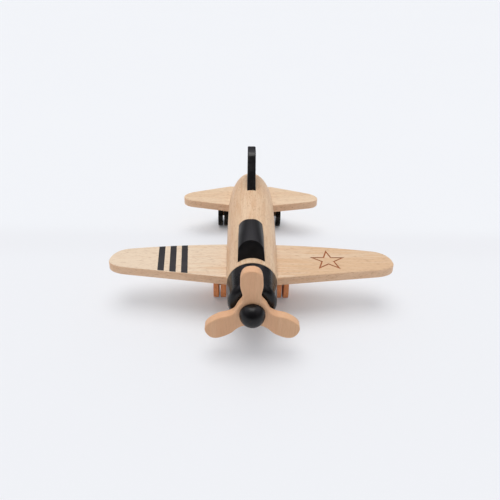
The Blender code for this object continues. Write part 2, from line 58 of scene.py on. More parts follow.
MM = 0.001
GLUE_GAP = 0.3 * MM
JOINT_LINE = 0.5 * MM
RUNNING_GAP = 0.3 * MM
CUT_MARGIN = 5 * MM
WELD = 0.001 * MM
TURNED_SEGMENTS = 96
DOWEL_SEGMENTS = 32
CURVE_POINTS = 14
CORNER_POINTS = 9
EDGE_STEPS = 4
FINE_EDGE_STEPS = 3
TIP_FULLNESS = 0.6
BOW_FULLNESS = 2 / 3
RIM_ANGLE = math.radians(50)
SMOOTH_ANGLE = math.radians(32)
CANOPY_ROLL = math.radians(-2.8)
SHAFT = "propeller_shaft"
PIN_MARK = "_pin_"

Colour = tuple[float, float, float, float]
Span = tuple[float, float]
Corner = tuple[float, float, float]
Piece = bpy.types.Object
Socket = bpy.types.NodeSocket
Inputs = dict[str | int, object]


class Axis(Enum):
    """Direction that a piece is turned about, or that its grain runs along."""

    X = 0
    Y = 1
    Z = 2

    @property
    def vector(self) -> Vector:
        """Unit vector along the axis."""
        return Vector([float(index == self.value) for index in range(3)])


class Body(Enum):
    """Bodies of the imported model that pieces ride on."""

    AIRFRAME = "airframe"
    PROPELLER = "propeller"
    FRONT_WHEELS = "front_wheelset"
    REAR_WHEELS = "rear_wheelset"


class Slot(Enum):
    """Finishes named in the record."""

    BEECH = "natural_beech"
    BLACK = "black_paint"


class Cut(Enum):
    """What a carving tool does to a piece."""

    AWAY = "DIFFERENCE"
    COMMON = "INTERSECT"


# Outlines


def curve(knots: Sequence[Vector], points: int = CURVE_POINTS) -> list[Vector]:
    """Points of one Bezier stretch, its end left out so that stretches can follow one another.

    Args:
        knots: start, start handle, end handle and end, in two dimensions.
        points: how many points the stretch has, its end included.

    Returns:
        The points, in two dimensions.
    """
    spatial = [knot.to_3d() for knot in knots]
    return [point.to_2d() for point in interpolate_bezier(*spatial, points)[:-1]]


def round_over(start: Vector, corner: Vector, end: Vector, fullness: float = TIP_FULLNESS) -> list[Vector]:
    """Curve that leaves one edge and meets another, each towards the corner between them.

    Args:
        start: where it leaves the first edge.
        corner: where the two edges would meet.
        end: where it meets the second edge, which is left out.
        fullness: how far the curve goes into the corner.

    Returns:
        The points, in two dimensions.
    """
    return curve((start, start.lerp(corner, fullness), end.lerp(corner, fullness), end))


def rounded_outline(corners: Sequence[Corner]) -> list[Vector]:
    """Closed outline whose corners are rounded by arcs.

    Args:
        corners: (x, y, radius) of each corner in turn.

    Returns:
        Points along the outline, in two dimensions.
    """
    outline = []
    for index, (x, y, radius) in enumerate(corners):
        corner = Vector((x, y))
        if not radius:
            outline.append(corner)
            continue
        before = (Vector(corners[index - 1][:2]) - corner).normalized()
        after = (Vector(corners[(index + 1) % len(corners)][:2]) - corner).normalized()
        angle = before.angle(after)
        reach = radius / math.tan(angle / 2)
        bulge = radius * 4 / 3 * math.tan((math.pi - angle) / 4)
        start = corner + before * reach
        end = corner + after * reach
        knots = (start, start - before * bulge, end - after * bulge, end)
        outline += curve(knots, CORNER_POINTS)
        outline.append(end)
    return outline


# Modelling moves


def activate(piece: Piece) -> None:
    """Make a piece the only one selected, and the active one."""
    bpy.ops.object.select_all(action="DESELECT")
    piece.select_set(True)
    bpy.context.view_layer.objects.active = piece


def draw_chain(name: str, points: Sequence[Vector]) -> Piece:
    """Start a mesh as a chain of edges, and stay in edit mode with all of it selected.

    Args:
        name: name of the new piece.
        points: places that the chain runs through.

    Returns:
        The new object.
    """
    bpy.ops.object.select_all(action="DESELECT")
    bpy.ops.mesh.primitive_plane_add(size=MM)
    piece = bpy.context.active_object
    piece.name = name
    piece.data.name = name
    bpy.ops.object.mode_set(mode="EDIT")
    bpy.ops.mesh.select_all(action="SELECT")
    bpy.ops.mesh.merge(type="CENTER")
    bpy.ops.transform.translate(value=points[0])
    for start, end in zip(points, points[1:]):
        bpy.ops.mesh.extrude_vertices_move(TRANSFORM_OT_translate={"value": end - start})
    bpy.ops.mesh.select_all(action="SELECT")
    return piece


def close_mesh() -> None:
    """Weld doubled points, turn all faces outwards and leave edit mode."""
    bpy.ops.mesh.select_all(action="SELECT")
    bpy.ops.mesh.remove_doubles(threshold=WELD)
    bpy.ops.mesh.normals_make_consistent(inside=False)
    bpy.ops.object.mode_set(mode="OBJECT")


def turn_solid(
    name: str,
    profile: Sequence[Span],
    axis: Axis,
    centre: Vector,
    segments: int = TURNED_SEGMENTS,
) -> Piece:
    """Turn a solid on a lathe: draw its profile and spin it.

    Args:
        name: name of the new piece.
        profile: (radius, along) points, from axis to axis, or back to its start for a ring.
        axis: what it is turned about.
        centre: point on the axis that the profile is measured from.
        segments: how many steps the full turn has.

    Returns:
        The new object.
    """
    outwards = Axis.X.vector if axis is Axis.Z else Axis.Z.vector
    points = [centre + outwards * radius + axis.vector * along for radius, along in profile]
    piece = draw_chain(name, points)
    bpy.ops.mesh.spin(steps=segments, angle=2 * math.pi, center=centre, axis=axis.vector)
    close_mesh()
    return piece


def drill(name: str, radius: float, reach: float, axis: Axis, centre: Vector) -> Piece:
    """Carving tool for a round hole.

    Args:
        name: name of the tool.
        radius: the hole's radius.
        reach: how far the tool goes to each side of its centre.
        axis: which way the hole runs.
        centre: middle of the tool.

    Returns:
        The tool.
    """
    profile = [(0.0, -reach), (radius, -reach), (radius, reach), (0.0, reach)]
    return turn_solid(name, profile, axis, centre, DOWEL_SEGMENTS)


def push_plate(name: str, outline: Sequence[Vector], push: Vector) -> Piece:
    """Fill an outline and extrude it into a plate.

    Args:
        name: name of the new piece.
        outline: places round the plate's first face.
        push: how far and which way the face is extruded.

    Returns:
        The new object.
    """
    piece = draw_chain(name, outline)
    bpy.ops.mesh.edge_face_add()
    bpy.ops.mesh.extrude_region_move(TRANSFORM_OT_translate={"value": push})
    close_mesh()
    return piece


def side_plate(name: str, corners: Sequence[Corner], start: float, end: float) -> Piece:
    """Plate sawn to a side view.

    Args:
        name: name of the new piece.
        corners: (y, z, radius) of each corner in turn.
        start: where its first face lies along X.
        end: where its other face lies along X.

    Returns:
        The new object.
    """
    outline = [Vector((start, point.x, point.y)) for point in rounded_outline(corners)]
    return push_plate(name, outline, Vector((end - start, 0, 0)))


def soften_edges(piece: Piece, width: float, steps: int = EDGE_STEPS, angle: float = RIM_ANGLE) -> None:
    """Round a piece's sharp edges.

    Args:
        piece: what is rounded.
        width: radius of the rounding.
        steps: faces across the rounding.
        angle: edges that turn by more than this are rounded.
    """
    activate(piece)
    rounding = piece.modifiers.new("softened", "BEVEL")
    rounding.width = width
    rounding.segments = steps
    rounding.limit_method = "ANGLE"
    rounding.angle_limit = angle
    bpy.ops.object.modifier_apply(modifier=rounding.name)


def carve(piece: Piece, tool: Piece, cut: Cut = Cut.AWAY) -> None:
    """Carve a piece with a tool, which is used up.

    Args:
        piece: what is carved.
        tool: closed solid that carves it.
        cut: what the tool does.
    """
    activate(piece)
    carving = piece.modifiers.new(tool.name, "BOOLEAN")
    carving.operation = cut.value
    carving.solver = "EXACT"
    carving.material_mode = "TRANSFER" if tool.data.materials else "INDEX"
    carving.object = tool
    bpy.ops.object.modifier_apply(modifier=carving.name)
    bpy.data.objects.remove(tool, do_unlink=True)


def roll_piece(piece: Piece, turn: float, centre: Vector) -> None:
    """Turn a piece about a fore-and-aft line.

    Args:
        piece: what is turned.
        turn: angle, positive towards the pilot's left.
        centre: point on the line.
    """
    activate(piece)
    bpy.ops.object.mode_set(mode="EDIT")
    bpy.ops.mesh.select_all(action="SELECT")
    bpy.ops.transform.rotate(value=-turn, orient_axis="Y", center_override=centre)
    bpy.ops.object.mode_set(mode="OBJECT")


def measure(node: str) -> tuple[Vector, Vector]:
    """Middle of a node's box, and half its size."""
    low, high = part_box(node)
    return (low + high) / 2, (high - low) / 2


def shaft_radius() -> float:
    """Radius of the propeller's shaft."""
    return measure(SHAFT)[1].x


def pin_hole(node: str) -> Piece:
    """Carving tool for the hole that a locating pin sits in.

    Args:
        node: the pin's node.

    Returns:
        The tool.
    """
    centre, half = measure(node)
    tool = drill(f"{node}_hole", half.y + GLUE_GAP, half.z + GLUE_GAP, Axis.Z, centre)
    if node.startswith("canopy"):
        roll_piece(tool, CANOPY_ROLL, centre)
    return tool


# Finishes


@dataclass(frozen=True)
class Figure:
    """One pattern in a surface: noise drawn out along the grain, and the range in which it shows."""

    across: float
    along: float
    detail: float = 2.0
    wander: float = 0.0
    shift: float = 0.0
    shows: Span = (0.3, 0.7)


BAND = Figure(16 * MM, 260 * MM, 1.0, 0.4, shows=(0.35, 0.65))
STREAK = Figure(2 * MM, 34 * MM, 3.0, 0.5, shift=3.0, shows=(0.38, 0.66))
FIBRE = Figure(0.35 * MM, 9 * MM, shows=(0.45, 0.72))
RAY = Figure(0.7 * MM, 4.5 * MM, 1.0, shift=7.0, shows=(0.56, 0.74))
PORE = Figure(0.5 * MM, 8 * MM)
PATCH = Figure(7 * MM, 30 * MM, shows=(0.4, 0.7))
BURN = Figure(0.8 * MM, 2.4 * MM, 3.0, shows=(0.35, 0.7))
CLOUD = Figure(300 * MM, 300 * MM)
SHEEN_SHOWS = (0.3, 0.7)
USUAL_SHINE = 0.5
SHIFT_SPREAD = (1.0, 1.7, 0.6)
MIX_COLOURS = (6, 7)
MIX_RESULT = 2


class Graph:
    """Shader nodes that are added and linked step by step."""

    def __init__(self, tree: bpy.types.NodeTree, coordinates: str) -> None:
        """Take a node tree over, and give it one kind of coordinates."""
        self.nodes, self.links = tree.nodes, tree.links
        self.place = self.add("TexCoord").outputs[coordinates]

    def plug(self, socket: Socket, value: object) -> None:
        """Link a socket to another one, or set its value."""
        if isinstance(value, Socket):
            self.links.new(value, socket)
        else:
            socket.default_value = value

    def add(self, kind: str, inputs: Inputs | None = None, **settings: str) -> bpy.types.Node:
        """Add a node.

        Args:
            kind: the node's type, without the prefix that all have.
            inputs: a value or another node's socket for each input, by name or number.
            settings: the node's own choices.

        Returns:
            The new node.
        """
        node = self.nodes.new(f"ShaderNode{kind}")
        for name, choice in settings.items():
            setattr(node, name, choice)
        for key, value in (inputs or {}).items():
            self.plug(node.inputs[key], value)
        return node

    def along(self, axis: Axis) -> Socket:
        """Part of the coordinates along one axis."""
        return self.add("SeparateXYZ", {0: self.place}).outputs[axis.name]

    def ramp(self, value: Socket, source: Span, target: Span = (0.0, 1.0)) -> Socket:
        """Smooth step from one range to another.

        Args:
            value: what is remapped.
            source: range that is read.
            target: range that is given back.

        Returns:
            The remapped value.
        """
        ends = dict(zip(("From Min", "From Max", "To Min", "To Max"), source + target))
        node = self.add("MapRange", {"Value": value, **ends}, interpolation_type="SMOOTHSTEP")
        return node.outputs["Result"]

    def maths(self, operation: str, first: Socket, second: Socket) -> Socket:
        """Two values put together by a Math node."""
        return self.add("Math", {0: first, 1: second}, operation=operation).outputs[0]

    def sees(self, ray: str) -> Socket:
        """1 for one kind of ray and 0 for all others."""
        return self.add("LightPath").outputs[ray]

    def mix_shaders(self, factor: Socket, first: Socket, second: Socket) -> Socket:
        """Mix of two shaders."""
        return self.add("MixShader", {0: factor, 1: first, 2: second}).outputs[0]


class Recipe(Graph):
    """Shader nodes of one material, on Object coordinates."""

    def __init__(self, name: str) -> None:
        """Start a material with a Principled shader."""
        self.material = bpy.data.materials.new(name)
        self.material.use_nodes = True
        super().__init__(self.material.node_tree, "Object")
        self.shader = self.nodes["Principled BSDF"]

    def noise(self, figure: Figure, grain: Axis, shift: float = 0.0) -> Socket:
        """Noise from 0 to 1.

        Args:
            figure: the pattern.
            grain: which way it is drawn out.
            shift: how far it is moved, so that no two boards match.

        Returns:
            The noise value.
        """
        scale = Vector((1, 1, 1)) / figure.across
        scale[grain.value] = 1 / figure.along
        location = [(shift + figure.shift) * spread for spread in SHIFT_SPREAD]
        place = self.add("Mapping", {"Vector": self.place, "Scale": scale, "Location": location})
        inputs = {
            "Vector": place.outputs["Vector"],
            "Scale": 1.0,
            "Detail": figure.detail,
            "Distortion": figure.wander,
        }
        return self.add("TexNoise", inputs).outputs["Fac"]

    def blend(self, factor: Socket, first: object, second: object) -> Socket:
        """Mix of two colours."""
        inputs = {0: factor, **dict(zip(MIX_COLOURS, (first, second)))}
        return self.add("Mix", inputs, data_type="RGBA").outputs[MIX_RESULT]

    def coat(self, colour: Socket, roughness: object, shine: float = USUAL_SHINE) -> None:
        """Set the surface's colour, its roughness and the strength of its reflections."""
        self.plug(self.shader.inputs["Base Color"], colour)
        self.plug(self.shader.inputs["Roughness"], roughness)
        self.plug(self.shader.inputs["Specular IOR Level"], shine)

    def bump(self, height: Socket, strength: float, depth: float) -> None:
        """Relief on the surface.

        Args:
            height: relief from 0 to 1.
            strength: how much of it shows.
            depth: height that 1 stands for.
        """
        node = self.add("Bump", {"Strength": strength, "Distance": depth, "Height": height})
        self.plug(self.shader.inputs["Normal"], node.outputs["Normal"])


@dataclass(frozen=True)
class Finish:
    """A look that pieces can be given, and the record's finish that it belongs to."""

    slot: ClassVar[Slot] = Slot.BEECH
    name: str

    def mix(self, recipe: Recipe) -> None:
        """Add the look's own nodes to a material."""
        raise NotImplementedError

    def material(self) -> bpy.types.Material:
        """Make the material.

        Returns:
            The new material.
        """
        recipe = Recipe(self.name)
        self.mix(recipe)
        return recipe.material


@dataclass(frozen=True)
class Beech(Finish):
    """Sanded and oiled beech: broad bands, drawn-out streaks, fine fibres and short ray flecks."""

    grain: Axis
    pale: Colour
    warm: Colour
    fleck: Colour = (0.40, 0.21, 0.11, 1.0)
    shift: float = 0.0
    streaks: float = 0.6
    flecks: float = 0.5
    fibres: float = 0.16
    painted_sheen: float = 0.0
    sheen_span: Span = (-100 * MM, 100 * MM)
    roughness: Span = (0.42, 0.58)
    relief: float = 0.25
    relief_depth: float = 0.12 * MM

    def mix(self, recipe: Recipe) -> None:
        """Add the wood's patterns.

        Args:
            recipe: the material that they are added to.
        """
        band, streak, fibre, ray = [
            recipe.noise(figure, self.grain, self.shift) for figure in (BAND, STREAK, FIBRE, RAY)
        ]
        bands = recipe.ramp(band, BAND.shows, (0.0, 1 - self.streaks))
        streaks = recipe.ramp(streak, STREAK.shows, (0.0, self.streaks))
        warm_and_sheen_mix = recipe.maths("ADD", bands, streaks)
        # Painted sheen: the wood is made paler towards the pilot's right (-X) and warmer towards the left,
        # standing in for the light's sheen on that side.
        if self.painted_sheen:
            side = recipe.ramp(recipe.along(Axis.X), self.sheen_span, (-self.painted_sheen, self.painted_sheen))
            warm_and_sheen_mix = recipe.maths("ADD", warm_and_sheen_mix, side)
        flecks = recipe.ramp(ray, RAY.shows, (0.0, self.flecks))
        fibres = recipe.ramp(fibre, FIBRE.shows, (0.0, self.fibres))
        wood = recipe.blend(warm_and_sheen_mix, self.pale, self.warm)
        wood = recipe.blend(flecks, wood, self.fleck)
        wood = recipe.blend(fibres, wood, self.fleck)
        recipe.coat(wood, recipe.ramp(fibre, SHEEN_SHOWS, self.roughness))
        recipe.bump(recipe.maths("ADD", fibre, flecks), self.relief, self.relief_depth)


@dataclass(frozen=True)
class Stain(Finish):
    """Thin coat over sanded wood, with the grain just showing through and a few thin places."""

    slot: ClassVar[Slot] = Slot.BLACK
    grain: Axis
    deep: Colour = (0.0028, 0.0026, 0.0031, 1.0)
    thin: Colour = (0.0058, 0.0050, 0.0054, 1.0)
    roughness: Span = (0.22, 0.34)
    shine: float = 0.3
    shift: float = 0.0
    patches: Figure = PATCH
    pores: Figure = PORE
    relief: float = 0.16
    relief_depth: float = 0.08 * MM

    def mix(self, recipe: Recipe) -> None:
        """Add the coat and the pores under it.

        Args:
            recipe: the material that they are added to.
        """
        pore = recipe.noise(self.pores, self.grain, self.shift)
        patch = recipe.noise(self.patches, self.grain, self.shift)
        colour = recipe.blend(recipe.ramp(patch, self.patches.shows), self.deep, self.thin)
        recipe.coat(colour, recipe.ramp(patch, SHEEN_SHOWS, self.roughness), self.shine)
        recipe.bump(pore, self.relief, self.relief_depth)


@dataclass(frozen=True)
class PaleFloor(Finish):
    """Matt pale studio paper with painted light: a glow that only the camera sees lightens the object's
    shadows by place, little near the toy and more further out, more in front of the rear wheels and less
    behind them.
    """

    name: str = "pale_floor"
    paper: Colour = (0.845, 0.862, 0.905, 1.0)
    shade: Colour = (0.835, 0.852, 0.895, 1.0)
    pale: Colour = (0.852, 0.861, 0.899, 1.0)
    roughness: float = 0.9
    shine: float = 0.1
    # Painted light on the floor: how much camera-only glow lightens the object's shadows, by place.
    painted_shadow_lift: Span = (0.13, 0.42)
    painted_lift_centre: tuple[float, float, float] = (0.0, -35 * MM, 0.0)
    painted_lift_reach: Span = (20 * MM, 110 * MM)
    tail_painted_light: Span = (0.4, -0.38)
    tail_light_fades_in: Span = (20 * MM, 60 * MM)
    tail_light_turns: Span = (69 * MM, 109 * MM)

    def mix(self, recipe: Recipe) -> None:
        """Add the paper, and a pale glow that only the camera sees: painted light that lightens the
        shadows by place.

        Args:
            recipe: the material that they are added to.
        """
        tone = recipe.noise(CLOUD, Axis.X)
        recipe.coat(recipe.blend(tone, self.paper, self.shade), self.roughness, self.shine)
        # Painted light: the glow's share grows with distance from a point under the wing, so shadows near
        # the toy stay darker than those further out.
        away = recipe.add("VectorMath", {0: recipe.place, 1: self.painted_lift_centre}, operation="DISTANCE")
        light = recipe.ramp(away.outputs["Value"], self.painted_lift_reach, self.painted_shadow_lift)
        depth = recipe.along(Axis.Y)
        # Painted light: the glow is raised in front of the rear wheels and lowered behind them, which
        # moves the tail's shadow back.
        tail = recipe.ramp(depth, self.tail_light_turns, self.tail_painted_light)
        tail = recipe.maths("MULTIPLY", recipe.ramp(depth, self.tail_light_fades_in), tail)
        light = recipe.maths("ADD", light, tail)
        camera_glow_share = recipe.maths("MULTIPLY", recipe.sees("Is Camera Ray"), light)
        glow = recipe.add("Emission", {"Color": self.pale}).outputs[0]
        seen = recipe.mix_shaders(camera_glow_share, recipe.shader.outputs[0], glow)
        recipe.plug(recipe.nodes["Material Output"].inputs["Surface"], seen)


DOWEL_TONES = ((0.68, 0.44, 0.27, 1.0), (0.58, 0.34, 0.19, 1.0))
# The wing's painted sheen makes it paler towards the pilot's right.
WING_BEECH = Beech("wing_beech", Axis.X, (0.785, 0.632, 0.477, 1.0), (0.70, 0.468, 0.285, 1.0), painted_sheen=0.5)
TAIL_BEECH = Beech("tailplane_beech", Axis.X, (0.81, 0.63, 0.45, 1.0), (0.74, 0.52, 0.335, 1.0), shift=5.0)
RIM_BEECH = Beech("rim_beech", Axis.X, (0.85, 0.58, 0.385, 1.0), (0.775, 0.485, 0.295, 1.0), shift=43.0)
BODY_BEECH = Beech("body_beech", Axis.Y, (0.78, 0.57, 0.385, 1.0), (0.68, 0.425, 0.25, 1.0), shift=11.0)
PROPELLER_BEECH = Beech(
    "propeller_beech",
    Axis.Z,
    (0.765, 0.457, 0.264, 1.0),
    (0.725, 0.402, 0.225, 1.0),
    shift=17.0,
    streaks=0.3,
    flecks=0.12,
)
# Painted warm shade: the front discs carry the deep orange that the beech shows in the warm shade under
# the wing, and keep it in full light.
WHEEL_BEECH_PAINTED_SHADE = Beech("wheel_beech_painted_shade", Axis.Z, (0.80, 0.305, 0.115, 1.0), (0.72, 0.25, 0.09, 1.0), shift=23.0)
BLOCK_BEECH = Beech("block_beech", Axis.Y, (0.69, 0.44, 0.27, 1.0), (0.60, 0.34, 0.19, 1.0), shift=29.0)
CROSS_DOWEL_BEECH = Beech("cross_dowel_beech", Axis.X, *DOWEL_TONES, shift=31.0)
LONG_DOWEL_BEECH = Beech("long_dowel_beech", Axis.Y, *DOWEL_TONES, shift=37.0)
UPRIGHT_DOWEL_BEECH = Beech("upright_dowel_beech", Axis.Z, *DOWEL_TONES, shift=41.0)
TURNED_BLACK = Stain("turned_black", Axis.Y)
SATIN_BLACK = Stain("satin_black", Axis.Y, roughness=(0.38, 0.48), shift=13.0)
DOME_BLACK = Stain("dome_black", Axis.Y, roughness=(0.29, 0.36), shift=19.0)
PLATE_BLACK = Stain("plate_black", Axis.Z, shift=3.0)
WHEEL_BLACK = Stain("wheel_black", Axis.Z, shine=0.22, shift=7.0)
STRIPE_BLACK = Stain(
    "stripe_black",
    Axis.X,
    deep=(0.012, 0.0108, 0.012, 1.0),
    thin=(0.024, 0.021, 0.022, 1.0),
    roughness=(0.36, 0.5),
    shift=13.0,
)
SCORCH = Stain(
    "scorched_line",
    Axis.X,
    deep=(0.44, 0.135, 0.038, 1.0),
    thin=(0.31, 0.085, 0.024, 1.0),
    roughness=(0.6, 0.8),
    shine=USUAL_SHINE,
    patches=BURN,
    pores=BURN,
    relief=0.3,
    relief_depth=0.1 * MM,
)


def paint(piece: Piece, *finishes: Finish) -> None:
    """Give a piece its finishes, one material slot each."""
    for finish in finishes:
        made = bpy.data.materials.get(finish.name) or finish.material()
        piece.data.materials.append(made)


def settle(piece: Piece, node: str, finish: Finish, body: Body = Body.AIRFRAME) -> None:
    """Smooth a finished piece, paint it and put it in its node's place.

    Args:
        piece: the finished piece.
        node: the node that it stands for.
        finish: its finish, which is put on unless the piece is painted already.
        body: the body that it rides on.
    """
    activate(piece)
    bpy.ops.object.shade_smooth_by_angle(angle=SMOOTH_ANGLE)
    if not piece.data.materials:
        paint(piece, finish)
    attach(piece, body.value)
    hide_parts(node)
    LOG.info("%s stands for %s: %d faces", piece.name, node, len(piece.data.polygons))


# Sub-assemblies


@dataclass(frozen=True)
class Datum:
    """Where the nose joint and the turning axis lie."""

    nose_y: float
    axis_z: float

    def at(self, x: float, station: float, height: float) -> Vector:
        """Place of a point on the airframe."""
        return Vector((x, self.nose_y + station, self.axis_z + height))

    @property
    def origin(self) -> Vector:
        """Point where the turning axis meets the nose joint."""
        return self.at(0, 0, 0)


@dataclass
class Fuselage:
    """Turned body: a shallow barrel, then a blunt superellipse to the tail end."""

    nose_radius: float = 22.8 * MM
    max_radius: float = 24.5 * MM
    tail_curve: float = 89 * MM
    bluntness: float = 2.25
    barrel_steps: int = 24
    tail_steps: int = 36
    rim: float = 0.4 * MM

    def __post_init__(self) -> None:
        """Take the length and the axis from the frame."""
        low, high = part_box("fuselage")
        self.length = high.y - low.y
        self.tail_start = self.length - self.tail_curve
        self.datum = Datum(low.y, (low.z + high.z) / 2)

    def radius(self, station: float) -> float:
        """Radius of the body.

        Args:
            station: how far back from the nose joint.

        Returns:
            The radius there.
        """
        if station <= self.tail_start:
            run = (self.tail_start - station) / self.tail_start
            return self.max_radius - (self.max_radius - self.nose_radius) * run**2
        run = min((station - self.tail_start) / self.tail_curve, 1)
        return self.max_radius * (1 - run**self.bluntness) ** (1 / self.bluntness)

    def skin(self, grow: float = 0.0) -> list[Span]:
        """Profile of the outside, behind the nose edge.

        Args:
            grow: clearance added all round.

        Returns:
            (radius, station) points.
        """
        stations = [self.tail_start * step / self.barrel_steps for step in range(1, self.barrel_steps)]
        for step in range(self.tail_steps):
            run = math.sin(math.pi / 2 * step / self.tail_steps) ** (2 / self.bluntness)
            stations.append(self.tail_start + self.tail_curve * run)
        points = [(self.radius(station) + grow, station) for station in stations]
        return points + [(0.0, self.length + grow)]

    def hollow(self, name: str) -> Piece:
        """Carving tool that seats a piece on the body."""
        start = [(0.0, -GLUE_GAP), (self.nose_radius + GLUE_GAP, -GLUE_GAP)]
        return turn_solid(name, start + self.skin(GLUE_GAP), Axis.Y, self.datum.origin)

    def slot(self, node: str, gap: float, corner: float, side: float) -> Piece:
        """Carving tool for the slot that a plate is let into.

        Args:
            node: the plate's node.
            gap: room left before, behind, under and over the plate.
            corner: radius of the slot's corners.
            side: how far the slot goes to each side.

        Returns:
            The tool.
        """
        low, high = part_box(node)
        front, back = low.y - gap, high.y + gap
        under, over = low.z - gap, high.z + gap
        places = ((front, under), (back, under), (back, over), (front, over))
        return side_plate(f"{node}_slot", [(y, z, corner) for y, z in places], -side, side)

    def build(self, wing_edge: float, tail_edge: float) -> None:
        """Turn the body, cut its slots and holes, and put it in place.

        Args:
            wing_edge: radius of the wing's edges.
            tail_edge: radius of the tailplane's edges.
        """
        bore = shaft_radius() + GLUE_GAP
        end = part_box(SHAFT)[1].y - self.datum.nose_y + GLUE_GAP
        nose = [(0.0, end), (bore, end), (bore, 0.0)]
        nose += [(self.nose_radius - self.rim, 0.0), (self.nose_radius, self.rim)]
        body = turn_solid("turned_fuselage", nose + self.skin(), Axis.Y, self.datum.origin)
        through = self.max_radius + CUT_MARGIN
        for plank, edge in (("main_wing", wing_edge), ("tailplane", tail_edge)):
            carve(body, self.slot(plank, JOINT_LINE, edge + JOINT_LINE, through))
        fin = "tail_fin"
        carve(body, self.slot(fin, GLUE_GAP, 0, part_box(fin)[1].x + GLUE_GAP))
        for node in sorted(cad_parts):
            if PIN_MARK in node:
                carve(body, pin_hole(node))
        settle(body, "fuselage", BODY_BEECH)


@dataclass
class NoseCowl:
    """Turned nose block: a straight taper forward, then an edge rounded over to a flat face."""

    body: Fuselage
    step: float = 0.2 * MM
    front_radius: float = 21.3 * MM
    face_radius: float = 15 * MM
    edge_length: float = 7 * MM
    back_edge: float = 0.4 * MM

    def build(self) -> None:
        """Turn the cowl and put it in place."""
        low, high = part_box("nose_cowl")
        datum = self.body.datum
        face_at = low.y - datum.nose_y
        back_at = high.y - datum.nose_y
        bore = shaft_radius() + GLUE_GAP
        back_radius = self.body.nose_radius - self.step
        shoulder = Vector((self.front_radius, face_at + self.edge_length))
        meeting = Vector((self.front_radius, face_at))
        face = Vector((self.face_radius, face_at))
        profile = [(bore, back_at), (back_radius - self.back_edge, back_at)]
        profile.append((back_radius, back_at - self.back_edge))
        profile += [(point.x, point.y) for point in round_over(shoulder, meeting, face)]
        profile += [(self.face_radius, face_at), (bore, face_at), (bore, back_at)]
        cowl = turn_solid("turned_nose_cowl", profile, Axis.Y, datum.origin)
        settle(cowl, "nose_cowl", TURNED_BLACK)


@dataclass
class Plank:
    """Wing-like plank that runs straight through the body and tapers outside it."""

    node: str
    root: float
    lead_sweep: float
    trail_sweep: float
    trail_bow: float
    tip_run: float
    tip_set: float
    finish: Beech
    rim_finish: Beech = RIM_BEECH
    edge: float = 1 * MM
    rim_steepness: float = 0.6

    def __post_init__(self) -> None:
        """Take the span, chord and heights from the frame."""
        self.low, self.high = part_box(self.node)

    def outline(self) -> list[Vector]:
        """Plan of the plank: swept edges outside the body and rounded tips.

        Returns:
            Places round the plank's underside.
        """
        half_span = self.high.x
        lead, trail = self.low.y, self.high.y
        tip_x = half_span - self.tip_run
        lead_root = Vector((self.root, lead))
        lead_tip = Vector((tip_x, lead + self.lead_sweep))
        trail_root = Vector((self.root, trail))
        trail_tip = Vector((tip_x, trail - self.trail_sweep))
        peak = Vector((half_span, lead_tip.y + self.tip_set))
        bow = (trail_root + trail_tip) / 2 + Vector((0, 2 * self.trail_bow))
        lead_corner = lead_tip + (lead_tip - lead_root) * self.tip_run / (tip_x - self.root)
        trail_corner = trail_tip + (trail_tip - bow) * self.tip_run / (tip_x - bow.x)
        half = [lead_root]
        half += round_over(lead_tip, lead_corner, peak)
        half += round_over(peak, trail_corner, trail_tip)
        half += round_over(trail_tip, bow, trail_root, BOW_FULLNESS)
        half.append(trail_root)
        both = half + [Vector((-point.x, point.y)) for point in reversed(half)]
        return [Vector((point.x, point.y, self.low.z)) for point in both]

    def shape(self) -> Piece:
        """Saw the plank out and round its edges.

        Returns:
            The plank with its wood finishes.
        """
        thickness = Vector((0, 0, self.high.z - self.low.z))
        plank = push_plate(f"sawn_{self.node}", self.outline(), thickness)
        soften_edges(plank, self.edge)
        paint(plank, self.finish, self.rim_finish)
        for face in plank.data.polygons:
            face.material_index = int(abs(face.normal.z) < self.rim_steepness)
        return plank

    def build(self) -> None:
        """Make the plank and put it in place."""
        settle(self.shape(), self.node, self.finish)


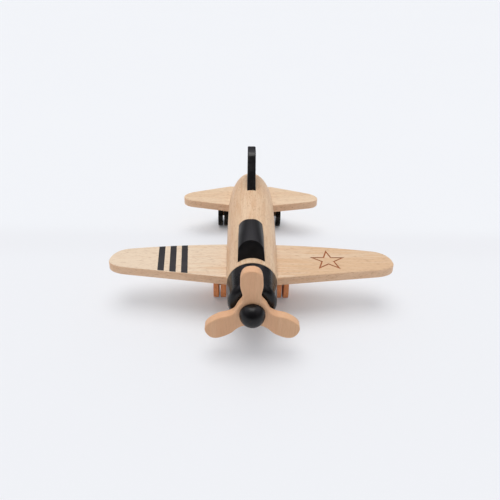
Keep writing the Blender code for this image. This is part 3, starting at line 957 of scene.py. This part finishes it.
@dataclass
class MarkedWing(Plank):
    """Main wing with three painted stripes on one side and an engraved star on the other."""

    stripe_places: tuple[float, ...] = (-85.7 * MM, -74.7 * MM, -63.8 * MM)
    stripe_width: float = 6.0 * MM
    stripe_tilt: float = math.radians(4.3)
    stripe_set_back: float = 28.75 * MM
    stripe_wrap: float = 0.85
    star_across: float = 72.6 * MM
    star_set_back: float = 29.35 * MM
    star_radius: float = 17.7 * MM
    star_turn: float = math.radians(0.8)
    star_waist: float = 0.382
    star_points: int = 5
    line_width: float = 1.3 * MM
    line_depth: float = 0.5 * MM

    def star_tool(self) -> Piece:
        """Carving tool for the engraved line round the star.

        Returns:
            The tool, with the scorched finish.
        """
        centre = Vector((self.star_across, self.low.y + self.star_set_back, self.high.z - self.line_depth))
        outline = []
        for index in range(2 * self.star_points):
            turn = math.pi / 2 + self.star_turn + math.pi * index / self.star_points
            reach = self.star_radius * (self.star_waist if index % 2 else 1)
            outline.append(centre + reach * Vector((math.cos(turn), math.sin(turn), 0)))
        tool = draw_chain("star_line", outline)
        bpy.ops.mesh.edge_face_add()
        bpy.ops.mesh.inset(thickness=self.line_width, depth=0)
        bpy.ops.mesh.delete(type="FACE")
        bpy.ops.mesh.select_all(action="SELECT")
        rise = Vector((0, 0, 2 * self.line_depth))
        bpy.ops.mesh.extrude_region_move(TRANSFORM_OT_translate={"value": rise})
        close_mesh()
        paint(tool, SCORCH)
        return tool

    def paint_stripes(self, plank: Piece) -> None:
        """Cut the stripes' edges into the skin and paint the top between them.

        Args:
            plank: the wing.
        """
        across = Vector((math.cos(self.stripe_tilt), math.sin(self.stripe_tilt), 0))
        level = self.low.y + self.stripe_set_back
        middles = [Vector((place, level, 0)) for place in self.stripe_places]
        activate(plank)
        bpy.ops.object.mode_set(mode="EDIT")
        for middle in middles:
            for side in (-0.5, 0.5):
                bpy.ops.mesh.select_all(action="SELECT")
                edge = middle + across * self.stripe_width * side
                bpy.ops.mesh.bisect(plane_co=edge, plane_no=across)
        bpy.ops.object.mode_set(mode="OBJECT")
        paint(plank, STRIPE_BLACK)
        black = len(plank.data.materials) - 1
        for face in plank.data.polygons:
            offsets = [abs((face.center - middle).dot(across)) for middle in middles]
            if face.normal.z > self.stripe_wrap and min(offsets) < self.stripe_width / 2:
                face.material_index = black

    def build(self) -> None:
        """Make the wing, mark it and put it in place."""
        plank = self.shape()
        carve(plank, self.star_tool())
        self.paint_stripes(plank)
        settle(plank, self.node, self.finish)


@dataclass
class TailFin:
    """Raked upright plate with rounded top corners, let into the tail."""

    body: Fuselage
    rake: float = math.radians(40.7)
    front_corner: float = 11 * MM
    rear_corner: float = 8 * MM
    edge: float = 1 * MM

    def build(self) -> None:
        """Saw the fin out, round its edges and put it in place."""
        low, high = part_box("tail_fin")
        datum = self.body.datum
        foot = datum.axis_z + self.body.radius(low.y - datum.nose_y)
        lean = (high.z - foot) * math.tan(self.rake)
        corners = [
            (low.y, low.z, 0),
            (low.y, foot, 0),
            (low.y + lean, high.z, self.front_corner),
            (high.y, high.z, self.rear_corner),
            (high.y, low.z, 0),
        ]
        fin = side_plate("sawn_tail_fin", corners, low.x, high.x)
        soften_edges(fin, self.edge)
        settle(fin, "tail_fin", PLATE_BLACK)


@dataclass
class Canopy:
    """Black block with an arched top and a steep flat windscreen, seated on the round body."""

    body: Fuselage
    width: float = 22.2 * MM
    side_lean: float = math.radians(5)
    height: float = 15 * MM
    arch_rise: float = 6.8 * MM
    rear_round: float = 1.2 * MM
    rake: float = math.radians(22.4)
    foot_station: float = 6.7 * MM
    length: float = 44.4 * MM
    edge: float = 0.7 * MM
    edge_angle: float = math.radians(28)
    arch_steps: int = 20

    def arch_tool(self, top: float) -> Piece:
        """Tool whose common part with the side view is the canopy.

        Args:
            top: height of the crown above the axis.

        Returns:
            The tool.
        """
        half = self.width / 2
        radius = (half**2 + self.arch_rise**2) / (2 * self.arch_rise)
        spring = math.asin(half / radius)
        skirt = half + (top - self.arch_rise) * math.tan(self.side_lean)
        view = [(-skirt, 0.0), (skirt, 0.0)]
        for step in range(2 * self.arch_steps + 1):
            turn = spring * (1 - step / self.arch_steps)
            view.append((radius * math.sin(turn), top - radius * (1 - math.cos(turn))))
        start = self.foot_station - top
        outline = [self.body.datum.at(x, start, height) for x, height in view]
        return push_plate("canopy_arch", outline, Vector((0, self.length + 2 * top, 0)))

    def build(self) -> None:
        """Shape the block, seat it on the body and put it in place."""
        datum = self.body.datum
        foot = self.body.radius(self.foot_station)
        top = foot + self.height
        base = foot / 2
        slope = math.tan(self.rake)
        back = self.foot_station + self.length
        side_view = rounded_outline(
            [
                (self.foot_station - (foot - base) * slope, base, 0),
                (self.foot_station + self.height * slope, top, 0),
                (back, top, self.rear_round),
                (back, base, 0),
            ]
        )
        side = self.width
        outline = [datum.at(-side, point.x, point.y) for point in side_view]
        canopy = push_plate("shaped_canopy", outline, Vector((2 * side, 0, 0)))
        carve(canopy, self.arch_tool(top), Cut.COMMON)
        soften_edges(canopy, self.edge, FINE_EDGE_STEPS, self.edge_angle)
        roll_piece(canopy, CANOPY_ROLL, datum.origin)
        carve(canopy, self.body.hollow("canopy_seat"))
        for place in ("front", "rear"):
            carve(canopy, pin_hole(f"canopy{PIN_MARK}{place}"))
        settle(canopy, "canopy", SATIN_BLACK)


@dataclass
class AxleBlock:
    """Block under the belly, hollowed to the round body and bored for an axle."""

    end: str
    body: Fuselage
    axle_radius: float = 3 * MM
    foot_inset: float = 5 * MM
    corner: float = 4 * MM
    edge: float = 0.8 * MM

    def build(self) -> None:
        """Shape the block, seat it on the body and put it in place."""
        node = f"{self.end}_axle_block"
        low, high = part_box(node)
        centre = measure(f"{self.end}_axle")[0]
        corners = [
            (low.y + self.foot_inset, low.z, self.corner),
            (high.y - self.foot_inset, low.z, self.corner),
            (high.y, high.z, 0),
            (low.y, high.z, 0),
        ]
        block = side_plate(f"sawn_{node}", corners, low.x, high.x)
        soften_edges(block, self.edge, FINE_EDGE_STEPS)
        carve(block, self.body.hollow(f"{node}_seat"))
        middle = Vector((0, centre.y, centre.z))
        bore = self.axle_radius + RUNNING_GAP
        carve(block, drill(f"{node}_bore", bore, high.x + CUT_MARGIN, Axis.X, middle))
        for place in ("fore", "aft"):
            carve(block, pin_hole(f"{self.end}_block{PIN_MARK}{place}"))
        settle(block, node, BLOCK_BEECH)


@dataclass(frozen=True)
class Blade:
    """What one hand-sawn blade has of its own: how far it is turned, its length and its width."""

    turn: float
    radius: float
    width: float


@dataclass
class Propeller:
    """Flat plate with three broad rounded blades, running on the shaft behind the spinner."""

    blades: tuple[Blade, ...] = (
        Blade(math.radians(2), 43 * MM, 18.9 * MM),
        Blade(math.radians(120.2), 45 * MM, 19.8 * MM),
        Blade(math.radians(241.2), 45 * MM, 20 * MM),
    )
    edge: float = 1.3 * MM
    edge_steps: int = 6
    widest_at: float = 29.5 * MM
    neck_width: float = 15.4 * MM
    neck_at: float = 16 * MM
    tip_fullness: float = 0.7
    hub_radius: float = 13.9 * MM
    hub_fillet: float = 4.6 * MM
    spinner_radius: float = 11 * MM
    spinner_rise: float = 0.8 * MM
    spinner_edge: float = 0.35 * MM
    dome_steps: int = 28

    def blade_side(self, blade: Blade) -> list[Vector]:
        """One side of an upright blade, from the valley beside the hub to just below the tip.

        Args:
            blade: the blade.

        Returns:
            Points across and up, in two dimensions.
        """
        turn = math.pi / len(self.blades)
        valley = self.hub_radius * Vector((math.sin(turn), math.cos(turn)))
        leave = self.hub_fillet * Vector((-math.cos(turn), math.sin(turn)))
        neck = Vector((self.neck_width / 2, self.neck_at))
        widest = Vector((blade.width / 2, self.widest_at))
        tip = Vector((0, blade.radius))
        swell = Vector((0, (self.widest_at - self.neck_at) / 2))
        shoulder = Vector((widest.x, tip.y))
        fillet = Vector((0, self.hub_fillet))
        side = curve((valley, valley + leave, neck - fillet, neck))
        side += curve((neck, neck + swell, widest - swell, widest))
        return side + round_over(widest, shoulder, tip, self.tip_fullness)

    def build_blades(self) -> None:
        """Saw the plate out, bore it, round it and put it in place."""
        low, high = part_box("propeller")
        centre = measure(SHAFT)[0]
        outline = []
        for blade in self.blades:
            side = self.blade_side(blade)
            mirrored = [Vector((-point.x, point.y)) for point in reversed(side[1:])]
            turn = Matrix.Rotation(blade.turn, 2)
            outline += [turn @ point for point in side + [Vector((0, blade.radius))] + mirrored]
        face = [Vector((point.x, low.y, centre.z + point.y)) for point in outline]
        thickness = high.y - low.y
        plate = push_plate("sawn_propeller", face, Vector((0, thickness, 0)))
        soften_edges(plate, self.edge, self.edge_steps)
        hub = Vector((0, (low.y + high.y) / 2, centre.z))
        carve(plate, drill("propeller_bore", shaft_radius() + RUNNING_GAP, thickness, Axis.Y, hub))
        settle(plate, "propeller", PROPELLER_BEECH, Body.PROPELLER)

    def build_spinner(self) -> None:
        """Turn the dome with its socket and put it in place."""
        low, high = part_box("spinner")
        hole = shaft_radius() + GLUE_GAP
        base = Vector((0, high.y, (low.z + high.z) / 2))
        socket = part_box(SHAFT)[0].y - GLUE_GAP - high.y
        start = math.asin((self.spinner_edge - self.spinner_rise) / self.spinner_radius)
        rim = self.spinner_radius * math.cos(start) - self.spinner_edge
        profile = [(0.0, socket), (hole, socket), (hole, 0.0), (rim, 0.0)]
        for step in range(self.dome_steps):
            turn = start + (math.pi / 2 - start) * step / self.dome_steps
            along = -self.spinner_rise - self.spinner_radius * math.sin(turn)
            profile.append((self.spinner_radius * math.cos(turn), along))
        profile.append((0.0, -self.spinner_rise - self.spinner_radius))
        spinner = turn_solid("turned_spinner", profile, Axis.Y, base)
        settle(spinner, "spinner", DOME_BLACK)

    def build(self) -> None:
        """Make the propeller and the spinner."""
        self.build_blades()
        self.build_spinner()


@dataclass
class WheelSet:
    """Axle with two thin discs pressed on at each side."""

    end: str
    body: Body
    finish: Finish
    edge: float = 0.4 * MM
    axle_radius: float = 3 * MM
    axle_chamfer: float = 0.6 * MM

    def build_disc(self, node: str) -> None:
        """Turn one disc and put it in place.

        Args:
            node: the disc's node.
        """
        centre, half = measure(node)
        side, radius = half.x, half.z
        bore = self.axle_radius + GLUE_GAP
        section = rounded_outline(
            [(bore, -side, 0), (radius, -side, self.edge), (radius, side, self.edge), (bore, side, 0)]
        )
        profile = [(point.x, point.y) for point in section]
        disc = turn_solid(f"turned_{node}", profile + profile[:1], Axis.X, centre)
        settle(disc, node, self.finish, self.body)

    def build_axle(self) -> None:
        """Turn the axle and put it in place."""
        node = f"{self.end}_axle"
        centre, half = measure(node)
        end = half.x
        inner = self.axle_radius - self.axle_chamfer
        half_profile = [(0.0, end), (inner, end), (self.axle_radius, end - self.axle_chamfer)]
        profile = [(radius, -along) for radius, along in half_profile] + half_profile[::-1]
        axle = turn_solid(f"turned_{node}", profile, Axis.X, centre, DOWEL_SEGMENTS)
        settle(axle, node, CROSS_DOWEL_BEECH, self.body)

    def build(self) -> None:
        """Make the axle and its four discs."""
        self.build_axle()
        for side in ("left", "right"):
            for row in ("inner", "outer"):
                self.build_disc(f"{self.end}_wheel_{side}_{row}")


@dataclass
class HiddenDowels:
    """Shaft, washer and locating pins, whose solids stay and get a wood finish."""

    long_nodes: tuple[str, ...] = (SHAFT, "propeller_washer")

    def dress(self) -> None:
        """Give each kept node its finish."""
        for name, node in sorted(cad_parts.items()):
            if PIN_MARK in name or name in self.long_nodes:
                finish = LONG_DOWEL_BEECH if name in self.long_nodes else UPRIGHT_DOWEL_BEECH
                node.data.materials.clear()
                paint(node, finish)
                LOG.info("%s keeps its solid in %s", name, finish.name)


# Stage


@dataclass(frozen=True)
class Glow:
    """Light of the surroundings: its colour, and its brightness by height and by depth."""

    tint: Colour
    heights: Span
    low_high: Span
    depths: Span
    front_back: Span


class Room(Graph):
    """Nodes of the world, which glows differently by direction and by what looks at it."""

    def __init__(self, tree: bpy.types.NodeTree) -> None:
        """Clear the tree and start from the direction that is looked at."""
        tree.nodes.clear()
        super().__init__(tree, "Generated")

    def brightness(self, glow: Glow) -> Socket:
        """How bright a glow is in each direction."""
        rise = self.ramp(self.along(Axis.Z), glow.heights, glow.low_high)
        depth = self.ramp(self.along(Axis.Y), glow.depths, glow.front_back)
        return self.maths("MULTIPLY", rise, depth)

    def walls(self, tint: Colour, strength: Socket | float) -> Socket:
        """Surroundings of one colour, with one brightness or one by direction."""
        return self.add("Background", {"Color": tint, "Strength": strength}).outputs[0]


@dataclass
class Studio:
    """Pale floor, one soft light overhead, and a room that is brightest low down and dim in front."""

    floor_size: float = 12.0
    light_place: tuple[float, float, float] = (0.0, 0.5, 2.0)
    light_power: float = 1.75
    light_tint: tuple[float, float, float] = (1.0, 0.98, 0.945)
    light_spread: float = math.radians(48)
    light_back: float = math.radians(7)
    light_right: float = math.radians(4)
    fill: Glow = Glow((0.96, 0.98, 1.0, 1.0), (0.0, 0.8), (0.86, 0.56), (-0.9, 0.3), (0.6, 1.0))
    mirror: Glow = Glow((0.94, 0.91, 1.0, 1.0), (0.25, 0.62), (0.04, 1.1), (-0.7, 0.3), (0.15, 1.0))
    mirror_sides: Span = (0.3, 0.95)
    mirror_right: float = 0.2
    mirror_left: float = 0.12
    backdrop: Colour = (0.845, 0.849, 0.878, 1.0)

    def lay_floor(self) -> None:
        """Lay the floor under the wheels."""
        bpy.ops.object.select_all(action="DESELECT")
        bpy.ops.mesh.primitive_plane_add(size=self.floor_size)
        floor = bpy.context.active_object
        floor.name = "studio_floor"
        floor.data.materials.append(PaleFloor().material())

    def hang_light(self) -> None:
        """Hang the soft light, a little behind the object and to its right."""
        turn = (-self.light_back, -self.light_right, 0)
        bpy.ops.object.light_add(type="SUN", location=self.light_place, rotation=turn)
        lamp = bpy.context.active_object
        lamp.name = "overhead_softbox"
        lamp.data.energy = self.light_power
        lamp.data.color = self.light_tint
        lamp.data.angle = self.light_spread

    def fill_room(self) -> None:
        """Light the room, and show a plain pale backdrop to the camera."""
        world = bpy.data.worlds.new("studio_room")
        bpy.context.scene.world = world
        world.use_nodes = True
        room = Room(world.node_tree)
        across = room.along(Axis.X)
        inner, outer = self.mirror_sides
        right = room.ramp(across, (-inner, -outer), (0.0, self.mirror_right))
        left = room.ramp(across, (inner, outer), (0.0, self.mirror_left))
        sides = room.maths("ADD", right, left)
        even = room.walls(self.fill.tint, room.brightness(self.fill))
        mirrored = room.walls(self.mirror.tint, room.maths("ADD", room.brightness(self.mirror), sides))
        pale = room.walls(self.backdrop, 1.0)
        for ray, seen in (("Is Glossy Ray", mirrored), ("Is Camera Ray", pale)):
            even = room.mix_shaders(room.sees(ray), even, seen)
        room.add("OutputWorld", {"Surface": even})

    def build(self) -> None:
        """Set the stage."""
        self.lay_floor()
        self.hang_light()
        self.fill_room()
        bpy.context.scene.view_settings.view_transform = "Standard"


@dataclass
class Viewpoint:
    """Camera in front of the nose, looking down on the model."""

    datum: Datum
    across: float = -9.229 * MM
    station: float = -418.336 * MM
    height: float = 304.885 * MM
    pitch: float = math.radians(32.737)
    yaw: float = math.radians(-0.93)
    roll: float = math.radians(1.209)
    lens: float = 41.535
    sensor: float = 36.0
    nearest: float = 10 * MM

    def build(self) -> None:
        """Set the camera up."""
        turn = Matrix.Rotation(self.yaw, 3, "Z")
        turn @= Matrix.Rotation(math.pi / 2 - self.pitch, 3, "X")
        turn @= Matrix.Rotation(self.roll, 3, "Z")
        place = self.datum.at(self.across, self.station, self.height)
        bpy.ops.object.camera_add(location=place, rotation=turn.to_euler())
        camera = bpy.context.active_object
        camera.name = "front_camera"
        camera.data.lens = self.lens
        camera.data.sensor_width = self.sensor
        camera.data.clip_start = self.nearest
        bpy.context.scene.camera = camera


def main() -> None:
    """Build every sub-assembly, then the stage and the camera."""
    logging.basicConfig(level=logging.INFO, format="%(message)s")
    body = Fuselage()
    wing = MarkedWing(
        node="main_wing",
        root=body.max_radius,
        lead_sweep=14 * MM,
        trail_sweep=9.6 * MM,
        trail_bow=1.6 * MM,
        tip_run=17 * MM,
        tip_set=12.1 * MM,
        finish=WING_BEECH,
    )
    tail_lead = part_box("tailplane")[0].y - body.datum.nose_y
    tailplane = Plank(
        node="tailplane",
        root=body.radius(tail_lead),
        lead_sweep=9.5 * MM,
        trail_sweep=15.5 * MM,
        trail_bow=0.3 * MM,
        tip_run=10.4 * MM,
        tip_set=10 * MM,
        finish=TAIL_BEECH,
    )
    body.build(wing.edge, tailplane.edge)
    NoseCowl(body).build()
    wing.build()
    tailplane.build()
    TailFin(body).build()
    Canopy(body).build()
    AxleBlock("front", body).build()
    AxleBlock("rear", body).build()
    Propeller().build()
    WheelSet("front", Body.FRONT_WHEELS, WHEEL_BEECH_PAINTED_SHADE).build()
    WheelSet("rear", Body.REAR_WHEELS, WHEEL_BLACK).build()
    HiddenDowels().dress()
    Studio().build()
    Viewpoint(body.datum).build()


if __name__ == "__main__":
    main()
